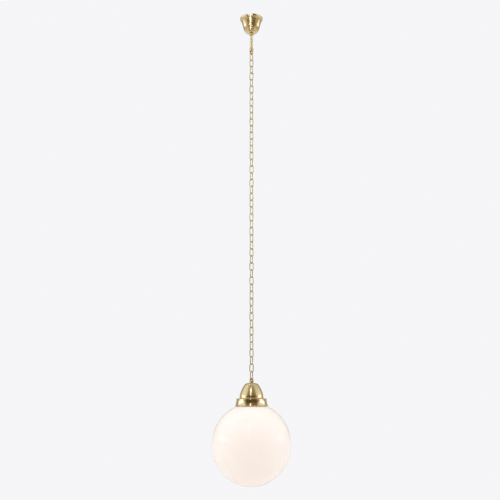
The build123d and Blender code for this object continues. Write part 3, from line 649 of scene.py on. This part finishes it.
# What polished metal mirrors: a dim room in front, a pale wall with a bright panel at each side, and
# a wall behind that is light up to eye level. Each height runs from straight down, 0, to straight
# up, 1, and side runs from straight in front, 0, to straight behind, 1.
BLACK, WHITE = (0, 0, 0), (1, 1, 1)
height = maths("MULTIPLY_ADD", split.outputs["Z"], 0.5, 0.5)
ahead = ramp(height, [
    (0.00, (0.45, 0.42, 0.36)), (0.30, (0.42, 0.37, 0.27)), (0.42, (0.24, 0.19, 0.11)),
    (0.50, (0.15, 0.11, 0.06)), (0.60, (0.11, 0.07, 0.03)), (0.70, (0.22, 0.17, 0.10)),
    (0.82, (0.30, 0.25, 0.14)), (1.00, (0.46, 0.42, 0.34)),
])
left = ramp(height, [
    (0.00, (0.50, 0.47, 0.43)), (0.25, (0.80, 0.77, 0.66)), (0.38, (0.72, 0.68, 0.56)),
    (0.50, (0.54, 0.49, 0.37)), (0.56, (0.62, 0.58, 0.47)), (0.66, (1.08, 1.04, 0.96)),
    (0.80, (1.05, 1.00, 0.91)), (1.00, (0.55, 0.51, 0.44)),
])
right = ramp(height, [
    (0.00, (0.50, 0.47, 0.43)), (0.25, (0.80, 0.76, 0.62)), (0.38, (0.68, 0.60, 0.44)),
    (0.50, (0.38, 0.28, 0.13)), (0.56, (0.52, 0.45, 0.32)), (0.66, (0.98, 0.93, 0.83)),
    (0.80, (0.80, 0.76, 0.66)), (1.00, (0.55, 0.51, 0.44)),
])
side = maths("ARCTAN2", split.outputs["X"], maths("MULTIPLY", split.outputs["Y"], -1))
side = maths("DIVIDE", maths("ABSOLUTE", side), pi)
walls = mix(maths("MULTIPLY_ADD", split.outputs["X"], 0.5, 0.5), left, right)
in_wall = ramp(side, [(0.20, BLACK), (0.34, WHITE), (0.60, WHITE), (0.76, BLACK)])
behind = ramp(side, [(0.48, BLACK), (0.52, WHITE)])
back_wall = ramp(height, [
    (0.0, (0.95, 0.92, 0.88)), (0.44, (0.85, 0.82, 0.77)), (0.56, (0.42, 0.39, 0.33)),
])
mirrored = mix(in_wall, mix(behind, ahead, back_wall), walls)
in_panel = ramp(side, [(0.34, BLACK), (0.40, WHITE), (0.58, WHITE), (0.64, BLACK)])
panel_height = ramp(height, [(0.54, BLACK), (0.56, WHITE), (0.60, WHITE), (0.63, BLACK)])
mirrored = mix(maths("MULTIPLY", in_panel, panel_height), mirrored, (3.0, 3.0, 3.2, 1))
path = nodes.new("ShaderNodeLightPath")
soft_front = ramp(height, [
    (0.0, (1.16, 0.99, 0.885)), (0.5, (1.10, 1.04, 1.00)), (1.0, (1.0, 0.98, 0.955)),
])
soft_light = mix(in_wall, soft_front, (1.30, 1.34, 1.40, 1))
colour = mix(path.outputs["Is Glossy Ray"], soft_light, mirrored)
colour = mix(path.outputs["Is Camera Ray"], colour, PALE)
background = nodes.new("ShaderNodeBackground")
links.new(colour, background.inputs["Color"])
output = nodes.new("ShaderNodeOutputWorld")
links.new(background.outputs["Background"], output.inputs["Surface"])

# The floor shines as pale as the background, and lights nothing
FLOOR_HEIGHT = -5
FLOOR_REACH = 14
floor_corners = [
    (x * FLOOR_REACH, y * FLOOR_REACH, FLOOR_HEIGHT) for x, y in ((-1, -1), (1, -1), (1, 1), (-1, 1))
]
floor_mesh = bpy.data.meshes.new("floor")
floor_mesh.from_pydata(floor_corners, [], [(0, 1, 2, 3)])
floor = bpy.data.objects.new("floor", floor_mesh)
bpy.context.scene.collection.objects.link(floor)
floor_material = bpy.data.materials.new("pale floor")
floor_material.use_nodes = True
floor_shader = floor_material.node_tree.nodes["Principled BSDF"]
floor_shader.inputs["Base Color"].default_value = (0, 0, 0, 1)
floor_shader.inputs["Specular IOR Level"].default_value = 0
floor_shader.inputs["Roughness"].default_value = 1.0
floor_shader.inputs["Emission Color"].default_value = PALE
floor_shader.inputs["Emission Strength"].default_value = 1.0
floor.data.materials.append(floor_material)
floor.visible_glossy = False
floor.visible_diffuse = False
